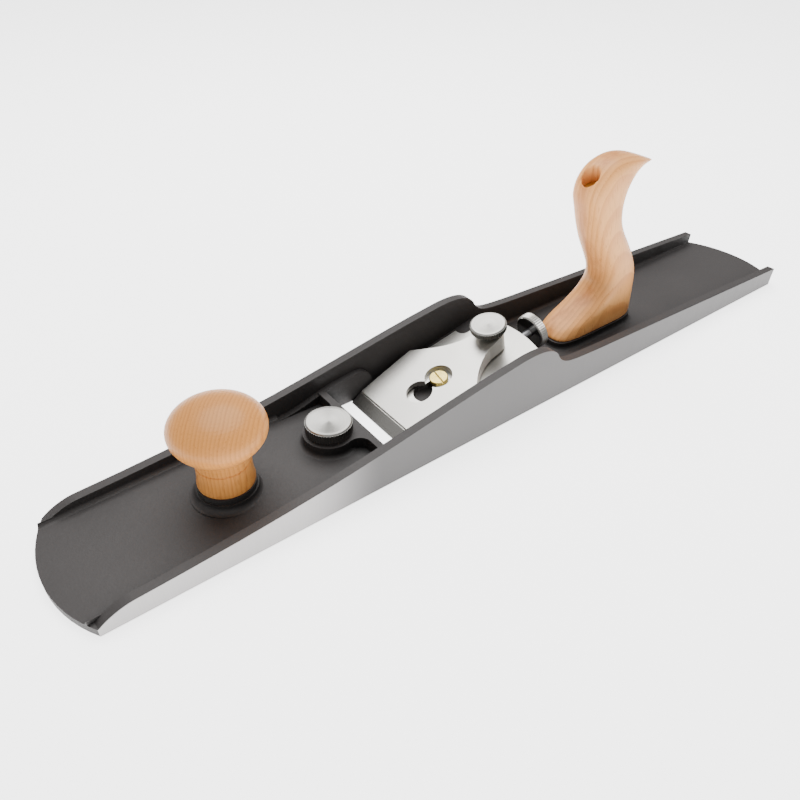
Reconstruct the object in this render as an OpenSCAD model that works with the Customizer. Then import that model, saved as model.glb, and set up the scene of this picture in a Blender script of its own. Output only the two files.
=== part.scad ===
// Low-angle bevel-up jointer plane with an adjustable mouth.
// X runs from the toe to the heel, Y across the sole, Z up. The origin is on the sole,
// midway between the toe and heel tips and on the centre line.

/* [Body] */
// Overall length, toe tip to heel tip
body_length = 558.8; // [500:0.1:640]
// Radius of the curved toe and heel, seen from above
end_radius = 75; // [65:1:140]
// Thickness of the side rails and cheeks
cheek_wall = 5.6; // [4.6:0.1:7]
// Floor thickness at the toe tip
floor_toe = 4.4; // [4:0.1:6]
// Floor thickness where the mouth plate is housed
floor_mouth = 9; // [8.5:0.1:12]
// Floor thickness behind the bed
floor_heel = 5; // [4:0.1:8]
// Highest point of the cheeks above the sole
cheek_peak = 41.4; // [38:0.1:48]
// Radius of the fillet along the foot of each rail
rail_fillet = 2.4; // [1:0.1:3]
// Distance from the toe tip to the cutting edge
toe_to_edge = 194.4; // [180:0.1:220]

/* [Blade] */
// Width of the blade
blade_width = 60.3; // [56:0.1:74]
// Thickness of the blade
blade_thickness = 3.5; // [3:0.1:4.5]
// Length of the blade, edge to rounded tail
blade_length = 112.8; // [110:0.1:118]
// Width of the narrower tail
tail_width = 46; // [40:0.5:52]
// Distance from the edge to the shoulders
shoulder_at = 86; // [80:0.5:90]
// Bevel angle of the cutting edge
bevel_angle = 25; // [23:1:38]
// Angle of the bed to the sole
bed_angle = 12; // [11:0.5:14]
// Height of the resting edge above the sole
edge_height = 0.15; // [0.1:0.01:0.3]

/* [Mouth] */
// Free space at each side of the blade in the mouth
mouth_side_gap = 1.35; // [1.2:0.05:2.5]
// Thickness of the cast wall at each end of the mouth
mouth_lobe = 3.9; // [3:0.1:6]
// Thickness of the sliding mouth plate
plate_thickness = 4.6; // [4:0.1:4.8]
// Length of the mouth plate
plate_length = 47; // [42:0.5:52]
// Gap between the plate and the edge when fully open
mouth_open = 8.5; // [7:0.1:10]
// Travel of the mouth plate
mouth_travel = 5.5; // [4:0.1:5.8]
// Height of the clamping boss and the throat wall
boss_top = 16; // [15:0.1:18]
// Radius of the clamping boss
boss_radius = 15; // [14.5:0.1:18]
// Distance from the clamping knob to the edge
lock_ahead = 35.4; // [33:0.1:38]
// Diameter of the clamping stud
lock_stud_d = 6; // [5:0.1:8]
// Diameter of the clamping knob
lock_knob_d = 27; // [24:0.1:32]
// Height of the clamping knob
lock_knob_h = 6.8; // [6:0.1:9]

/* [Lever cap] */
// Width of the lever cap at its front edge
cap_front_width = 59.4; // [55:0.1:60]
// Width of the lever cap at its widest
cap_width = 62.6; // [60:0.1:64]
// Distance from the edge to the front of the cap
cap_front = 7.9; // [7.8:0.1:9]
// Distance from the edge to the rear end of the cap
cap_rear = 99; // [96:0.5:102]
// Rise of the cap's top face, relative to the bed
cap_rise = 7.5; // [6:0.1:8.5]
// Height of the cap's front edge above the blade
cap_nose = 1.1; // [0.8:0.1:1.6]
// Distance from the edge to the clamping screw
screw_at = 46.9; // [45:0.1:49]
// Diameter of the clamping screw
cap_screw_d = 6; // [5:0.1:7]
// Diameter of the clamping screw head
cap_head_d = 11.6; // [10:0.1:12]
// Diameter of the countersink in the cap
cap_sink_d = 17.4; // [17.2:0.1:18.4]
// Diameter of the large end of the keyhole
keyhole_d = 16.4; // [14:0.1:17]
// Distance from the large end to the small end of the keyhole
keyhole_step = 15.5; // [15:0.1:17]
// Distance from the edge to the cap's knob
cap_knob_at = 89.2; // [88:0.1:91]
// Diameter of the cap's knob
cap_knob_d = 22.8; // [20:0.1:26]
// Height of the top of the cap's knob above the bed
cap_knob_top = 24.8; // [24.5:0.1:27]
// Diameter of the knob's clamping stud
cap_stud_d = 6; // [5:0.1:6.5]
// Lift that the cap's knob gives when it is unscrewed
foot_travel = 2; // [1.5:0.1:2.5]

/* [Adjuster] */
// Depth of the adjuster screw below the bed
rod_depth = 4.8; // [4.6:0.1:5.2]
// Diameter of the adjuster screw
rod_d = 5.2; // [4.8:0.1:6.4]
// Distance from the edge to the blade pin
pin_at = 84; // [82:0.1:85]
// Diameter of the blade pin
pin_d = 6; // [5:0.1:7]
// Distance from the edge to the swivel nut
swivel_at = 103; // [102:0.1:104]
// Diameter of the swivel nut
swivel_d = 12; // [11:0.1:13]
// Distance from the edge to the front face of the wheel
wheel_at = 122.9; // [121:0.1:124]
// Diameter of the wheel
wheel_d = 24; // [20:0.1:26]
// Width of the wheel
wheel_w = 6.4; // [5:0.1:8]
// Forward travel of the blade from rest
advance = 2; // [1:0.1:2]
// Backward travel of the blade from rest
retreat = 4; // [2:0.1:4]

/* [Front knob] */
// Distance from the toe tip to the knob
knob_from_toe = 96; // [90:0.5:110]
// Height of the top of the knob above the sole
knob_top = 64.5; // [60:0.5:75]
// Diameter of the knob's head
knob_head_d = 50; // [44:0.5:58]
// Diameter of the knob's foot
knob_foot_d = 30.4; // [28:0.1:34]
// Height of the knob's cast boss above the sole
knob_boss_top = 12; // [11:0.1:15]
// Step between the boss and the knob's seat
knob_step = 3.3; // [2:0.1:5]
// Diameter of the knob's stud
knob_stud_d = 8; // [6:0.1:10]

/* [Tote] */
// Distance from the edge to the front of the tote
tote_behind_edge = 140; // [138:0.5:150]
// Length of the tote's base
tote_base = 76; // [70:0.5:85]
// Thickness of the tote
tote_width = 28.5; // [25:0.5:32]
// Height of the tote's seat above the sole
tote_seat = 10; // [9:0.1:14]
// Height of the tote above its seat
tote_height = 118.3; // [105:0.1:130]
// Lean of the tote's tie rod from upright, towards the toe
tote_lean = 24; // [23:0.5:25]
// Diameter of the tie rod
tote_rod_d = 6; // [5:0.1:7]
// Diameter of the barrel nut's head
tote_nut_d = 11; // [10:0.1:12]

/* [Fits] */
// Radial clearance of turning and sliding fits
running = 0.05; // [0.02:0.01:0.1]
// Gap between faces that touch on the real tool
face_gap = 0.05; // [0.02:0.01:0.1]
// Radial clearance of holes that a fastener passes through
passing = 0.3; // [0.2:0.05:0.5]

/* [Hidden] */
$fn = 96;

half = body_length / 2;
edge_x = toe_to_edge - half;
mouth_width = blade_width + 2 * mouth_side_gap;
inner_width = mouth_width + 2 * mouth_lobe;
sole_width = inner_width + 2 * cheek_wall;
corner_x = half - end_radius + sqrt(end_radius * end_radius - sole_width * sole_width / 4);
wide = 2 * sole_width;
tall = 200;
tight = 0.04;
knurl_depth = 0.4;

// Mouth
lock_x = edge_x - lock_ahead;
plate_rear_x = edge_x - mouth_open;
plate_front_x = plate_rear_x - plate_length;
plate_width = mouth_width - 2 * running;
plate_ceiling = plate_thickness + face_gap;
plate_skin = 0.6;
bar_front_x = edge_x - 21.8;
bar_rear_x = edge_x - 17.5;
bar_foot_x = edge_x - mouth_open - 2.9;
toe_floor_end = plate_front_x - 3;
washer_r = 9.5;
washer_h = 0.8;
lock_knob_foot = boss_top + washer_h + 2 * face_gap;
lock_stud_top = lock_knob_foot + lock_knob_h - 2.2;

// Bed and adjuster
bed_start = 1.2;
bed_end = 110;
screw_skin = 1.5;
screw_depth = (edge_height + screw_at * sin(bed_angle) - screw_skin) / cos(bed_angle)
  - cap_screw_d / 2 * tan(bed_angle);
carriage_l = 13;
carriage_w = 16;
carriage_below = 3.4;
carriage_front = pin_at - 7;
clip_h = 0.8;
clip_room = 2.6;
swing_room = 1.5;
pocket_depth = rod_depth + 4.4;
pocket_end = carriage_front + carriage_l + retreat + 0.6;
swivel_depth = rod_depth + rod_d / 2 + 3.4;
pin_foot = rod_d / 2 - 0.8 - rod_depth + 0.2;
grub_d = 3;
blade_slot = 7;
blade_eye_ahead = 10.5;

// Lever cap, with heights above the bed
cap_foot = blade_thickness + face_gap;
cap_relief = 1;
shoulder_s = 49;
cap_neck_w = 15.4;
cap_head_seat = 6.2;
cap_head_h = 2.95;
screw_slot_turn = 79;
foot_d = 11;
foot_h = 3;
foot_neck_d = 3.4;
foot_top = cap_foot + foot_h;

// Front knob
knob_x = knob_from_toe - half;
knob_seat_r = knob_foot_d / 2 + 0.3;
knob_floor = floor_toe + (floor_mouth - floor_toe) * (knob_x + half) / (toe_floor_end + half);
insert_d = 12;
insert_h = 18;
stud_foot = 3;

// Tote
tote_x = edge_x + tote_behind_edge;
nut_seat = 107.5;
nut_sleeve = 20;
nut_sleeve_d = 8;
nut_head = 3;
tote_rod_len = nut_seat;
tote_rod_drop = 8.4;
dowel_x = tote_x + 22;
dowel_d = 5;
dowel_depth = 6;
ring_points = 28;
tote_rings = 57;
tote_foot_square = 4.2;
// Front and rear edges of the tote from its foot to the tip of its horn, as shares of its
// base length and height, and its half width and squareness along the same way
tote_front = [
  [0.01, 0], [0.015, 0.02], [0.09, 0.062], [0.26, 0.108], [0.43, 0.168], [0.525, 0.237], [0.52, 0.313],
  [0.44, 0.41], [0.342, 0.516], [0.263, 0.626], [0.204, 0.727], [0.158, 0.81], [0.171, 0.888],
  [0.245, 0.95], [0.355, 0.985], [0.487, 0.999], [0.632, 0.989], [0.776, 0.96], [0.908, 0.927], [0.974, 0.911]
];
tote_rear = [
  [0.99, 0], [1, 0.05], [0.998, 0.118], [0.987, 0.186], [0.965, 0.254], [0.928, 0.325], [0.862, 0.406],
  [0.77, 0.495], [0.671, 0.579], [0.605, 0.651], [0.583, 0.719], [0.589, 0.778], [0.618, 0.833],
  [0.664, 0.875], [0.717, 0.9], [0.776, 0.913], [0.842, 0.915], [0.908, 0.913], [0.954, 0.911], [0.98, 0.908]
];
tote_half_width = [
  for (w = [1, 1, 1, 1, 1, 1, 1, 1, 0.99, 0.97, 0.94, 0.92, 0.9, 0.87, 0.81, 0.73, 0.61, 0.45, 0.25, 0.09])
    [w]
];
tote_squareness = [
  for (q = [4.2, 4, 3.6, 3.2, 3, 2.8, 2.6, 2.5, 2.5, 2.6, 2.8, 3, 3, 2.9, 2.8, 2.7, 2.5, 2.3, 2.2, 2]) [q]
];

// Top edge of the rails, in X and Z: from the toe to the cheeks, then over the cheeks
rail_front = concat(
  curve([-corner_x, floor_toe + 0.3], [4.2 - corner_x, 8.2], [11 - corner_x, 11.1], [17 - corner_x, 11.6], 8),
  curve([17 - corner_x, 11.6], [50 - corner_x, 12.9], [edge_x - 95, 15.6], [edge_x - 57, 20.2], 8)
);
cheek_top = concat(
  curve([edge_x - 57, 20.2], [edge_x - 20, 25], [edge_x + 30, 35.2], [edge_x + 65, cheek_peak - 1.7], 12),
  curve([edge_x + 65, cheek_peak - 1.7], [edge_x + 72, cheek_peak - 0.7], [edge_x + 77, cheek_peak],
        [edge_x + 83, cheek_peak], 6),
  curve([edge_x + 83, cheek_peak], [edge_x + 92.5, cheek_peak], [edge_x + 99.5, cheek_peak - 2.4],
        [edge_x + 103, 33.8], 10),
  curve([edge_x + 103, 33.8], [edge_x + 105.5, 28.5], [edge_x + 110, 25.2], [edge_x + 118, 24.2], 10)
);

// Height of the lever cap's top face above the bed
function cap_top(s) = blade_thickness + cap_nose + (s - cap_front) * tan(cap_rise);

// A rounded oval outline, squarer for larger powers
function oval(half_length, half_width, power, points) = [
  for (i = [0 : points - 1])
    let (a = 360 * i / points, c = cos(a), s = sin(a))
      [
        -half_length * sign(c) * pow(abs(c), 2 / power),
        half_width * sign(s) * pow(abs(s), 2 / power)
      ]
];

// Points on a cubic curve, without its last point
function curve(p0, p1, p2, p3, steps = 12) = [
  for (i = [0 : steps - 1])
    let (t = i / steps, u = 1 - t)
      u * u * u * p0 + 3 * u * u * t * p1 + 3 * u * t * t * p2 + t * t * t * p3
];

// Points on an arc around a centre
function arc(centre, radius, from, to, steps = 10) = [
  for (i = [0 : steps])
    let (a = from + (to - from) * i / steps) centre + radius * [cos(a), sin(a)]
];

// A smooth curve through a list of points, at position t counted in points
function through(points, t) =
  let (
    last = len(points) - 1,
    i = min(floor(t), last - 1),
    f = t - i,
    a = points[max(i - 1, 0)],
    b = points[i],
    c = points[i + 1],
    d = points[min(i + 2, last)]
  )
  0.5 * (2 * b + f * (c - a) + f * f * (2 * a - 5 * b + 4 * c - d) + f * f * f * (3 * b - a - 3 * c + d));

// Places a child in the blade's frame: X up the bed, Z square to it, origin at the edge
module on_bed(along = 0, up = 0)
  translate([edge_x, 0, edge_height])
    rotate([0, -bed_angle, 0])
      translate([along, 0, up])
        children();

// Places a child on the tote's tie rod, Z running up it from the tote's seat
module on_lean(along)
  translate([tote_x + 17.9 + 106.3 * tan(tote_lean), 0, tote_seat])
    rotate([0, -tote_lean, 0])
      translate([0, 0, along])
        children();

// Extrudes a side view (X, Z) across a width, centred on Y
module side_slab(width)
  rotate([90, 0, 0])
    linear_extrude(height = width, center = true)
      children();

// A closed solid through a list of rings that all have the same number of points
module loft(rings) {
  n = len(rings[0]);
  top = len(rings) - 1;
  polyhedron(
    points = [for (ring = rings) each ring],
    faces = concat(
      [
        for (i = [0 : top - 1], k = [0 : n - 1])
          let (next = (k + 1) % n)
            each [
              [i * n + k, i * n + next, (i + 1) * n + next],
              [i * n + k, (i + 1) * n + next, (i + 1) * n + k]
            ]
      ],
      [[for (k = [n - 1 : -1 : 0]) k]],
      [[for (k = [0 : n - 1]) top * n + k]]
    )
  );
}

// A cylinder with a straight knurl, standing on the XY plane
module knurled(diameter, height, teeth)
  linear_extrude(height = height)
    polygon([
      for (i = [0 : 2 * teeth - 1])
        let (a = 180 * i / teeth, r = diameter / 2 - (i % 2) * knurl_depth) r * [cos(a), sin(a)]
    ]);

// The grip of a turned knob: a knurled band between two plain chamfered rims
module turned_grip(diameter, height, teeth, chamfer) {
  rim = diameter / 2 - knurl_depth - 0.05;
  translate([0, 0, chamfer])
    knurled(diameter, height - 2 * chamfer, teeth);
  cylinder(h = chamfer, r1 = rim - chamfer, r2 = rim);
  translate([0, 0, height - chamfer])
    cylinder(h = chamfer, r1 = rim, r2 = rim - chamfer);
}

// A concave fillet around the foot of a round boss
module foot_fillet(radius, fillet)
  rotate_extrude()
    polygon(concat(
      [[radius - 1, -1], [radius - 1, fillet]],
      arc([radius + fillet, fillet], fillet, 180, 270, 8),
      [[radius + fillet, -1]]
    ));

// ---------------------------------------------------------------- body casting

// Outline of the sole
module sole_outline() {
  square([2 * (half - end_radius), sole_width], center = true);
  intersection() {
    square([2 * body_length, sole_width], center = true);
    for (end = [-1, 1])
      translate([end * (half - end_radius), 0])
        circle(end_radius);
  }
}

// Side view of the rails and cheeks
module rail_profile()
  polygon(concat(
    [[-corner_x, 0]],
    rail_front,
    cheek_top,
    curve([edge_x + 118, 24.2], [edge_x + 136, 21.4], [edge_x + 225, 19.6], [corner_x + 0.8, 13.2], 16),
    [[corner_x + 0.8, 13.2], [corner_x - 0.6, 0]]
  ));

// Side view of the floor, thicker over the mouth plate
module floor_profile() {
  polygon([
    [-half, 0], [-half, floor_toe], [toe_floor_end, floor_mouth], [bar_front_x, floor_mouth], [bar_front_x, 0]
  ]);
  translate([edge_x + bed_end / 2, 0])
    square([half - edge_x - bed_end / 2, floor_heel]);
}

// Fillet between a stretch of floor and the rail beside it
module rail_foot(from, to)
  translate([from.x, 0, from.y])
    rotate([0, -atan2(to.y - from.y, to.x - from.x), 0])
      for (side = [0, 1])
        mirror([0, side, 0])
          translate([0, inner_width / 2, 0])
            rotate([90, 0, 90])
              linear_extrude(height = norm(to - from))
                difference() {
                  translate([-rail_fillet, -0.5])
                    square(rail_fillet + 0.5);
                  translate([-rail_fillet, rail_fillet])
                    circle(rail_fillet);
                }

// The sloping bed that the blade lies on
module bed_ramp()
  intersection() {
    translate([edge_x, -inner_width / 2 - 0.5, 0])
      cube([bed_end + 30, inner_width + 1, tall]);
    on_bed(bed_start, -tall - face_gap)
      translate([0, -inner_width / 2 - 0.5, 0])
        cube([bed_end - bed_start, inner_width + 1, tall]);
  }

// The cast wall at each end of the mouth
module mouth_lobes()
  for (side = [-1, 1])
    translate([0, side * (mouth_width + mouth_lobe + 1) / 2, 0])
      side_slab(mouth_lobe + 1)
        polygon(concat(
          [[edge_x + 16.6, 0], [lock_x - 20, 0], [lock_x - 20, floor_mouth - 1]],
          curve([lock_x - 15, floor_mouth], [edge_x - 31, floor_mouth + 1], [edge_x - 24, boss_top + 0.4],
                [edge_x - 6, boss_top + 2.4], 10),
          arc([edge_x + 6.4, boss_top - 6.6], 10.2, 96, 0, 8)
        ));

// The wall in front of the mouth, full width between the lobes
module throat_wall()
  side_slab(mouth_width + mouth_lobe)
    polygon([
      [bar_front_x - 1.4, 0], [bar_front_x, boss_top], [bar_rear_x, boss_top],
      [bar_foot_x, plate_ceiling], [bar_foot_x, 0]
    ]);

// The clamping boss, with a curved web on each side running into the throat wall
module clamp_boss() {
  web = 7;
  web_x = bar_front_x - web;
  web_y = sqrt(pow(boss_radius + web, 2) - pow(web_x - lock_x, 2));
  translate([lock_x, 0, 0]) {
    cylinder(h = boss_top, r = boss_radius);
    translate([0, 0, floor_mouth])
      foot_fillet(boss_radius, rail_fillet);
  }
  linear_extrude(height = boss_top)
    difference() {
      polygon([
        [lock_x, 0], [web_x, web_y], [bar_front_x + 1, web_y],
        [bar_front_x + 1, -web_y], [web_x, -web_y]
      ]);
      for (side = [-1, 1])
        translate([web_x, side * web_y])
          circle(web);
    }
}

// The stepped seat of the front knob
module knob_boss()
  translate([knob_x, 0, 0])
    rotate_extrude()
      polygon(concat(
        [[0, 1], [0, knob_boss_top + knob_step], [knob_seat_r, knob_boss_top + knob_step],
         [knob_seat_r, knob_boss_top], [knob_seat_r + 0.9, knob_boss_top]],
        arc([knob_seat_r + 4.4, knob_floor + 3.4], 3.4, 180, 270, 8),
        [[knob_seat_r + 4.4, 1]]
      ));

// The tote's seat, with a rounded foot
module tote_boss()
  loft([
    for (step = [[-1, 2.8], [0, 2.8], [0.3, 1.8], [0.9, 1.1], [2, 0.6], [tote_seat - floor_heel, 0.5]])
      [
        for (p = oval(tote_base / 2 + step[1], tote_width / 2 + step[1], tote_foot_square, 48))
          [tote_x + tote_base / 2 + p.x, p.y, floor_heel + step[0]]
      ]
  ]);

// The pocket under the blade where the adjuster lies, and the seat of its swivel
module adjuster_pocket() {
  on_bed(carriage_front - clip_room - advance, -pocket_depth)
    translate([0, -carriage_w / 2 - swing_room, 0])
      cube([pocket_end - carriage_front + clip_room + advance, carriage_w + 2 * swing_room, pocket_depth + 1]);
  on_bed(pocket_end - 1, -pocket_depth)
    translate([0, -rod_d / 2 - swing_room, 0])
      cube([bed_end, rod_d + 2 * swing_room, pocket_depth + 1]);
  on_bed(swivel_at, -swivel_depth - face_gap)
    cylinder(h = swivel_depth + 1, d = swivel_d + 2 * running);
}

module body_casting() {
  color("#3a3836")
    difference() {
      union() {
        intersection() {
          union() {
            side_slab(sole_width)
              floor_profile();
            rail_foot([-half, floor_toe], [toe_floor_end, floor_mouth]);
            rail_foot([toe_floor_end, floor_mouth], [lock_x - 14, floor_mouth]);
            rail_foot([edge_x + bed_end, floor_heel], [corner_x - 1, floor_heel]);
          }
          linear_extrude(height = tall)
            sole_outline();
        }
        for (side = [-1, 1])
          translate([0, side * (sole_width - cheek_wall) / 2, 0])
            side_slab(cheek_wall)
              rail_profile();
        bed_ramp();
        mouth_lobes();
        throat_wall();
        clamp_boss();
        knob_boss();
        tote_boss();
      }
      // Recess for the mouth plate
      translate([plate_front_x - 0.4, -mouth_width / 2, -1])
        cube([edge_x + 1.4 - plate_front_x, mouth_width, plate_ceiling + 1]);
      // Slot for the clamping stud
      for (x = [lock_x, lock_x + mouth_travel])
        translate([x, 0, 1])
          cylinder(h = boss_top, d = lock_stud_d + 2 * passing);
      translate([lock_x, -lock_stud_d / 2 - passing, 1])
        cube([mouth_travel, lock_stud_d + 2 * passing, boss_top]);
      // Threaded holes for the cap screw, knob stud and tie rod, and the dowel's hole
      on_bed(screw_at, -screw_depth)
        cylinder(h = screw_depth + 1, d = cap_screw_d + tight);
      translate([knob_x, 0, stud_foot])
        cylinder(h = knob_top, d = knob_stud_d + tight);
      on_lean(-tote_rod_drop)
        cylinder(h = tote_rod_drop + tote_rod_d, d = tote_rod_d + tight);
      translate([dowel_x, 0, tote_seat - dowel_depth])
        cylinder(h = dowel_depth + 1, d = dowel_d + tight);
      adjuster_pocket();
    }
}

// ---------------------------------------------------------------- adjustable mouth

module mouth_plate() {
  color("#a8a6a2")
    difference() {
      side_slab(plate_width)
        polygon([
          [plate_front_x, 0], [plate_front_x, plate_thickness],
          [plate_rear_x - 1.7, plate_thickness], [plate_rear_x, 0]
        ]);
      translate([lock_x, 0, plate_skin])
        cylinder(h = plate_thickness, d = lock_stud_d + tight);
    }
}

module mouth_lock_stud() {
  color("#8c8c8c")
    translate([lock_x, 0, plate_skin]) {
      cylinder(h = lock_stud_top - plate_skin - 0.6, d = lock_stud_d);
      translate([0, 0, lock_stud_top - plate_skin - 0.6])
        cylinder(h = 0.6, d1 = lock_stud_d, d2 = lock_stud_d - 1.2);
    }
}

module mouth_lock_washer() {
  color("#b4b2ae")
    translate([lock_x, 0, boss_top + face_gap])
      difference() {
        cylinder(h = washer_h, r = washer_r);
        translate([0, 0, -1])
          cylinder(h = washer_h + 2, d = lock_stud_d + 2 * running);
      }
}

module mouth_lock_knob() {
  color("#c9c6bf")
    translate([lock_x, 0, lock_knob_foot])
      difference() {
        turned_grip(lock_knob_d, lock_knob_h, 54, 0.7);
        translate([0, 0, -1])
          cylinder(h = lock_stud_top - lock_knob_foot + 1.5, d = lock_stud_d + 2 * running);
        translate([0, 0, lock_knob_h - 0.35])
          cylinder(h = 0.4, r1 = 0.2, r2 = lock_knob_d / 2 - 1.2);
      }
}

// ---------------------------------------------------------------- front knob

module front_knob() {
  seat = knob_boss_top + knob_step + face_gap;
  waist = knob_foot_d / 2 - 0.6;
  head = knob_head_d / 2;
  head_z = knob_top - 14;
  color("#b87a4c")
    translate([knob_x, 0, 0])
      difference() {
        rotate_extrude()
          polygon(concat(
            [[0, seat], [waist, seat], [knob_foot_d / 2, seat + 0.7]],
            curve([knob_foot_d / 2, seat + 2.4], [waist, seat + 5], [waist - 0.2, seat + 8],
                  [waist - 0.2, seat + 12.2], 5),
            [[waist - 0.2, seat + 13.4], [waist - 0.8, seat + 13.9], [waist - 0.8, seat + 14.5]],
            curve([waist - 0.2, seat + 15], [waist - 0.2, head_z - 13], [waist + 2, head_z - 12.8],
                  [waist + 4.4, head_z - 10.6], 6),
            curve([waist + 4.4, head_z - 10.6], [head - 3, head_z - 7.6], [head, head_z - 4.6],
                  [head, head_z], 8),
            curve([head, head_z], [head, head_z + 7.7], [head * 0.55, knob_top], [0, knob_top], 16),
            [[0, knob_top]]
          ));
        translate([0, 0, seat - 1])
          cylinder(h = insert_h + 2, d = insert_d + tight);
      }
}

module front_knob_insert() {
  color("#b8944a")
    translate([knob_x, 0, knob_boss_top + knob_step + face_gap])
      difference() {
        cylinder(h = insert_h, d = insert_d);
        translate([0, 0, -1])
          cylinder(h = insert_h + 2, d = knob_stud_d + tight);
      }
}

module front_knob_stud() {
  color("#8c8c8c")
    translate([knob_x, 0, stud_foot])
      cylinder(h = knob_boss_top + knob_step + insert_h - 1 - stud_foot, d = knob_stud_d);
}

// ---------------------------------------------------------------- tote

// One ring of the tote, between a point on its front edge and one on its rear edge
function tote_ring(t) =
  let (
    front = through(tote_front, t),
    rear = through(tote_rear, t),
    wide_here = through(tote_half_width, t)[0] * tote_width / 2,
    square_here = through(tote_squareness, t)[0]
  )
  [
    for (p = oval(0.5, wide_here, square_here, ring_points))
      let (q = front + (p.x + 0.5) * (rear - front))
        [tote_x + q.x * tote_base, p.y, tote_seat + face_gap + q.y * tote_height]
  ];

module tote() {
  last = len(tote_front) - 1;
  color("#dcb083")
    difference() {
      loft([for (i = [0 : tote_rings]) tote_ring(last * i / tote_rings)]);
      on_lean(-10)
        cylinder(h = tote_rod_len + 10, d = tote_rod_d + 2 * passing);
      on_lean(nut_seat - nut_sleeve)
        cylinder(h = nut_sleeve + 1, d = nut_sleeve_d + 2 * passing);
      on_lean(nut_seat)
        cylinder(h = 60, d = tote_nut_d + 2 * passing);
      translate([dowel_x, 0, tote_seat - 1])
        cylinder(h = dowel_depth + 1.5, d = dowel_d + tight);
    }
}

module tote_rod() {
  color("#8c8c8c")
    on_lean(0.5 - tote_rod_drop)
      cylinder(h = nut_seat + tote_rod_drop - 2.5, d = tote_rod_d);
}

module tote_nut() {
  color("#c8a24e")
    on_lean(nut_seat - nut_sleeve)
      difference() {
        union() {
          cylinder(h = nut_sleeve + 0.1, d = nut_sleeve_d);
          translate([0, 0, nut_sleeve + face_gap])
            cylinder(h = nut_head, d = tote_nut_d);
        }
        translate([0, 0, -1])
          cylinder(h = nut_sleeve, d = tote_rod_d + tight);
        translate([-tote_nut_d, -0.8, nut_sleeve + nut_head - 1.4])
          cube([2 * tote_nut_d, 1.6, 3]);
      }
}

module tote_dowel() {
  color("#8c8c8c")
    translate([dowel_x, 0, tote_seat - dowel_depth + 0.1])
      cylinder(h = 2 * dowel_depth, d = dowel_d);
}

// ---------------------------------------------------------------- blade

module blade() {
  shoulder_fillet = 5;
  tail_round = 72;
  tail = tail_width / 2;
  tail_turn = asin(tail / tail_round);
  color("#c2c0ba")
    difference() {
      on_bed()
        linear_extrude(height = blade_thickness)
          difference() {
            polygon(concat(
              [[0, -blade_width / 2], [shoulder_at, -blade_width / 2]],
              arc([shoulder_at + shoulder_fillet, -tail - shoulder_fillet], shoulder_fillet, 180, 90, 8),
              arc([blade_length - tail_round, 0], tail_round, -tail_turn, tail_turn, 16),
              arc([shoulder_at + shoulder_fillet, tail + shoulder_fillet], shoulder_fillet, 270, 180, 8),
              [[shoulder_at, blade_width / 2], [0, blade_width / 2]]
            ));
            translate([pin_at, 0])
              circle(d = pin_d + 2 * running);
            for (s = [screw_at - blade_slot, screw_at + blade_slot])
              translate([s, 0])
                circle(d = cap_head_d + 2 * passing);
            translate([screw_at - blade_eye_ahead, 0])
              circle(d = keyhole_d);
            translate([screw_at - blade_slot, -cap_head_d / 2 - passing])
              square([2 * blade_slot, cap_head_d + 2 * passing]);
          }
      on_bed()
        rotate([0, -bevel_angle, 0])
          translate([-20, -blade_width, 0])
            cube([20 + 2 * blade_thickness / sin(bevel_angle), 2 * blade_width, 20]);
    }
}

// ---------------------------------------------------------------- lever cap

// Outline of the lever cap, seen square to the bed
module cap_outline() {
  neck = cap_neck_w / 2;
  side = concat(
    [[cap_front, cap_front_width / 2]],
    curve([shoulder_s, cap_width / 2], [shoulder_s + 9, cap_width / 2 - 8], [shoulder_s + 18, neck + 3],
          [cap_rear - neck - 5, neck], 12),
    [for (a = [90 : -15 : 15]) [cap_rear - neck + neck * cos(a), neck * sin(a)]]
  );
  polygon(concat(side, [[cap_rear, 0]], [for (i = [len(side) - 1 : -1 : 0]) [side[i].x, -side[i].y]]));
}

module lever_cap() {
  color("#c9c6bf")
    difference() {
      intersection() {
        on_bed()
          linear_extrude(height = 40)
            cap_outline();
        on_bed()
          side_slab(wide)
            polygon([
              [cap_front, cap_foot], [cap_front + 5, cap_foot], [cap_front + 9, cap_foot + cap_relief],
              [cap_rear + 5, cap_foot + cap_relief], [cap_rear + 5, cap_top(cap_rear + 5)],
              [cap_front + 13, cap_top(cap_front + 13)], [cap_front + 0.6, cap_top(cap_front) - 0.1],
              [cap_front, cap_top(cap_front) - 0.6]
            ]);
      }
      on_bed(screw_at - keyhole_step, 0)
        cylinder(h = 40, d = keyhole_d);
      on_bed(screw_at - keyhole_step, 0)
        translate([0, -cap_screw_d / 2 - 0.7, 0])
          cube([keyhole_step, cap_screw_d + 1.4, 40]);
      on_bed(screw_at, 0)
        cylinder(h = 40, d = cap_screw_d + 1.4);
      on_bed(screw_at, cap_head_seat - face_gap)
        cylinder(h = 40, d = cap_sink_d);
      on_bed(cap_knob_at, 0)
        cylinder(h = 40, d = cap_stud_d + 2 * running);
      on_bed(cap_knob_at, 0)
        cylinder(h = cap_foot + foot_h + foot_travel + 0.8, d = foot_d + 1);
    }
}

module lever_cap_screw() {
  color("#d9b765")
    on_bed(screw_at, 0)
      difference() {
        union() {
          translate([0, 0, 0.5 - screw_depth])
            cylinder(h = screw_depth + cap_head_seat, d = cap_screw_d);
          translate([0, 0, cap_head_seat])
            cylinder(h = cap_head_h - 0.4, d = cap_head_d);
          translate([0, 0, cap_head_seat + cap_head_h - 0.4])
            cylinder(h = 0.4, d1 = cap_head_d, d2 = cap_head_d - 0.8);
        }
        rotate([0, 0, screw_slot_turn])
          translate([-cap_head_d, -0.55, cap_head_seat + cap_head_h - 1.3])
            cube([2 * cap_head_d, 1.1, 3]);
      }
}

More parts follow.
